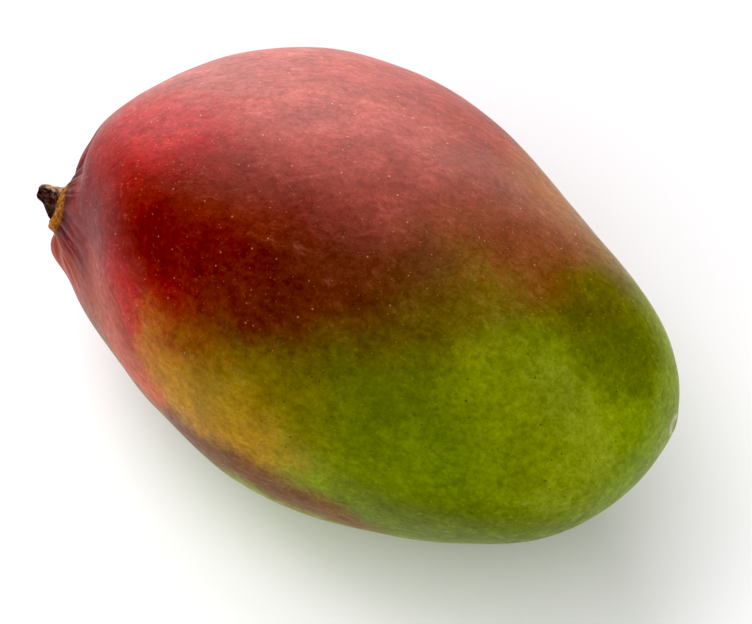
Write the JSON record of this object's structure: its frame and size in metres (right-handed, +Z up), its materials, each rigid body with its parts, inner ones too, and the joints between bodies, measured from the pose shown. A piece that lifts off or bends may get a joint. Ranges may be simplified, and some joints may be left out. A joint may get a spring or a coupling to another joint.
{
  "type": "mango",
  "caption": "Whole ripe mango, an oblique ovoid with one fuller side, a woody stalk stub in a corky collar and a small tip scar, resting on its cheek.",
  "frame": {"origin": "on the surface the fruit rests on, under the middle of its bounding box", "axes": "+X from the stalk end to the tip, +Y towards the fuller belly side, +Z up"},
  "size_m": [0.1314, 0.0938, 0.0768],
  "materials": {
    "skin": "satin waxy fruit skin, red at the stalk end turning through maroon and yellow to green at the tip",
    "bark": "rough dry bark"
  },
  "bodies": {
    "root": {"fruit": "skin", "stem": "bark"}
  },
  "joints": []
}
